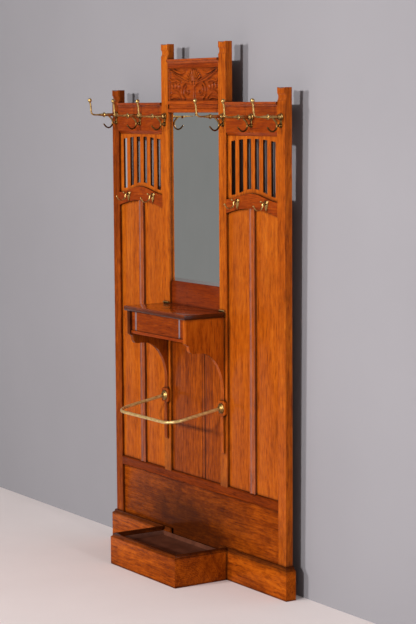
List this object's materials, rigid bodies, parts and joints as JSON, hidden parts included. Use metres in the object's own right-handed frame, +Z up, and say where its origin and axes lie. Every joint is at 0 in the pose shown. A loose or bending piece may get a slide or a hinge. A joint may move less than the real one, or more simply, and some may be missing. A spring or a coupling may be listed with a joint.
{
  "type": "hall tree",
  "caption": "Tall framed oak hall tree with brass coat hooks, bevelled mirror, glove box with a hinged lid, umbrella rail and drip tray.",
  "frame": {"origin": "on the floor, in the middle of the footprint between the wall side and the front of the drip tray", "axes": "+Z up, -Y is the front, +Y is towards the wall, +X is to the right seen from the front"},
  "size_m": [1.3, 0.286, 2.1],
  "materials": {
    "oak_post": "gloss shellac over honey-brown oak, upright grain",
    "oak_rail": "gloss shellac over red-brown oak, level grain",
    "oak_panel": "gloss shellac over honey-brown oak, upright grain",
    "oak_plinth": "gloss shellac over figured brown oak, level grain",
    "oak_carving": "gloss shellac over red-brown oak, darker in the carved hollows",
    "backboard": "bare pine backing board",
    "brass": "worn polish, brown in the hollows",
    "mirror": "silvered plate glass with a ground bevel",
    "enamel": "brown stoved enamel on thin sheet"
  },
  "bodies": {
    "frame": {"post_outer_left": "oak_post", "post_inner_left": "oak_post", "mullion_left": "oak_post", "side_cap_left": "oak_rail", "hook_rail_left": "oak_rail", "arched_rail_left": "oak_rail", "lattice_panel_left": "oak_panel", "side_panel_left_a": "oak_panel", "side_panel_left_b": "oak_panel", "middle_board_left": "oak_panel", "bracket_left": "oak_rail", "plinth_board_left": "oak_plinth", "plinth_return_left": "oak_plinth", "tray_side_left": "oak_plinth", "rail_flange_left": "brass", "hinge_leaf_fixed_left": "brass", "post_outer_right": "oak_post", "post_inner_right": "oak_post", "mullion_right": "oak_post", "side_cap_right": "oak_rail", "hook_rail_right": "oak_rail", "arched_rail_right": "oak_rail", "lattice_panel_right": "oak_panel", "side_panel_right_a": "oak_panel", "side_panel_right_b": "oak_panel", "middle_board_right": "oak_panel", "bracket_right": "oak_rail", "plinth_board_right": "oak_plinth", "plinth_return_right": "oak_plinth", "tray_side_right": "oak_plinth", "rail_flange_right": "brass", "hinge_leaf_fixed_right": "brass", "crest_cap": "oak_rail", "crest_rail": "oak_rail", "carved_panel": "oak_carving", "mirror_top_rail": "oak_rail", "mirror_bottom_rail": "oak_rail", "mirror_glass": "mirror", "mirror_backboard": "backboard", "dado_rail": "oak_rail", "dado_panel": "oak_plinth", "tray_front": "oak_plinth", "tray_floor": "oak_plinth", "box_front": "oak_rail", "box_bottom": "oak_rail", "umbrella_rail": "brass", "coat_hook_1": "brass", "coat_hook_2": "brass", "coat_hook_3": "brass", "coat_hook_4": "brass", "coat_hook_5": "brass", "coat_hook_6": "brass", "small_hook_1": "brass", "small_hook_2": "brass", "small_hook_3": "brass", "small_hook_4": "brass"},
    "lid": {"lid": "oak_rail", "hinge_leaf_moving_left": "brass", "hinge_leaf_moving_right": "brass"},
    "drip_pan": {"drip_pan": "enamel"}
  },
  "joints": [
    {"name": "lid_hinge", "type": "hinge", "parent": "frame", "child": "lid", "pos_m": [0, 0.1073, 1.06], "axis": [-1, 0, 0], "range_deg": [0, 90]},
    {"name": "pan_lift", "type": "slide", "parent": "frame", "child": "drip_pan", "axis": [0, 0, 1], "range_m": [0, 0.12]}
  ]
}
